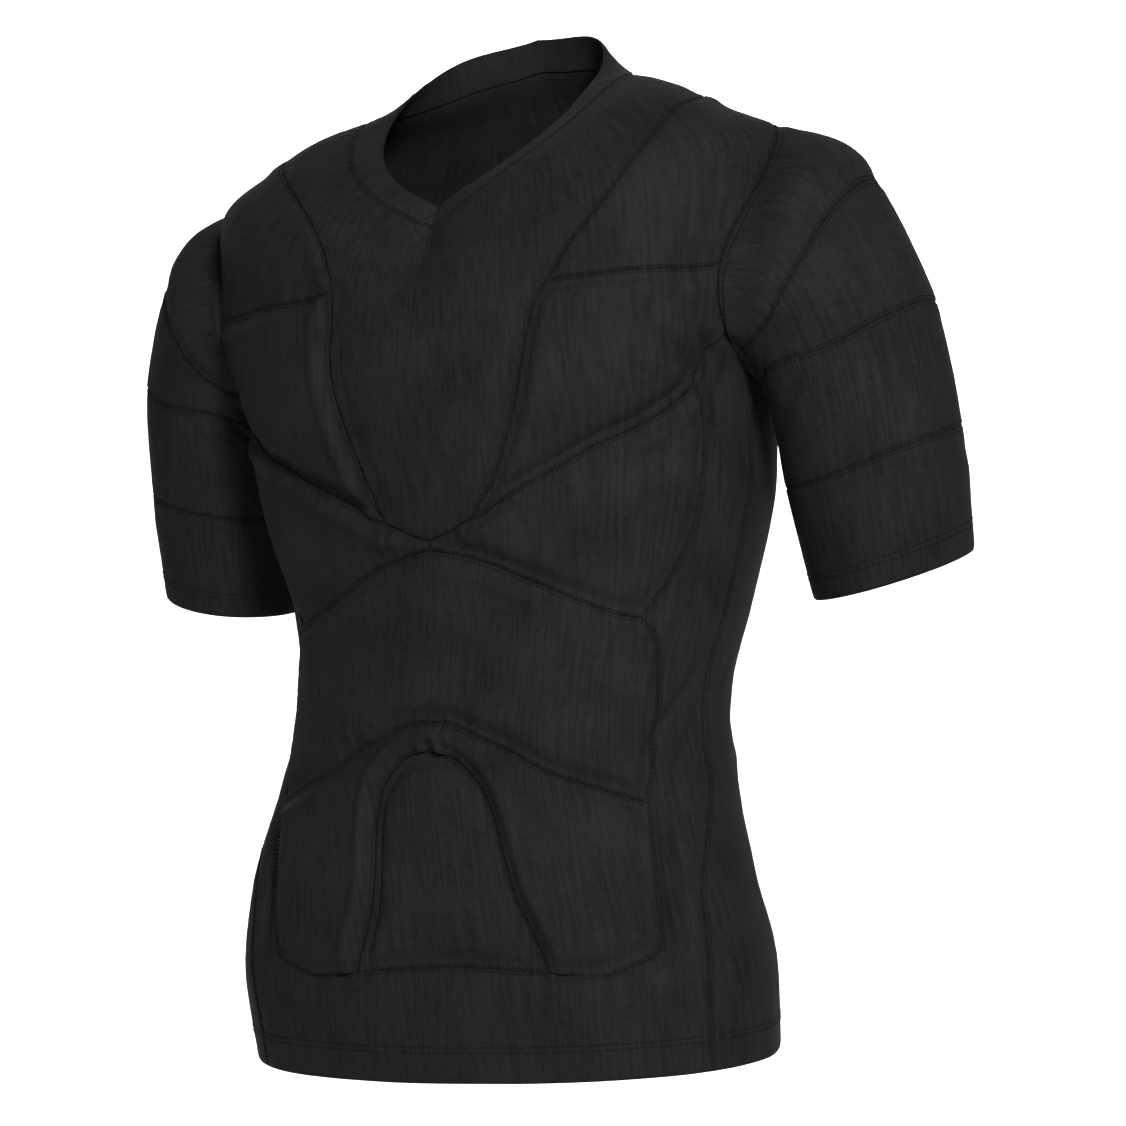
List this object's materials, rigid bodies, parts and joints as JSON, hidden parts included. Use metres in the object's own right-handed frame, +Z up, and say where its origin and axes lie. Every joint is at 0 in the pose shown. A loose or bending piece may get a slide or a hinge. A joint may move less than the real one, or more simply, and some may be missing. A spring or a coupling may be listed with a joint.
{
  "type": "goalkeeper jersey",
  "caption": "Short-sleeved close-fitting goalkeeper jersey with a V neckband and padded chest, ribs, waist and shoulders, hollow as it is worn.",
  "frame": {"origin": "between the shoulders, level with where they carry the jersey", "axes": "+Z up towards the neck, -Y towards the front, +X towards the wearer's left"},
  "size_m": [0.6136, 0.2798, 0.6899],
  "materials": {
    "knit": "matt black stretch knit",
    "pad": "matt black stretch knit over thin foam",
    "band": "matt black rib knit"
  },
  "bodies": {
    "root": {"front_chest_centre": "knit", "front_surround": "knit", "back_panel": "knit", "front_yoke_left": "knit", "front_yoke_right": "knit", "sleeve_upper_left": "knit", "sleeve_upper_right": "knit", "sleeve_middle_left": "knit", "sleeve_middle_right": "knit", "sleeve_lower_left": "knit", "sleeve_lower_right": "knit", "waist_pad": "pad", "hip_pad": "pad", "arch_pad": "pad", "chest_pad_left": "pad", "chest_pad_right": "pad", "rib_pad_left": "pad", "rib_pad_right": "pad", "sleeve_cap_left": "pad", "sleeve_cap_right": "pad", "neckband": "band"}
  },
  "joints": []
}
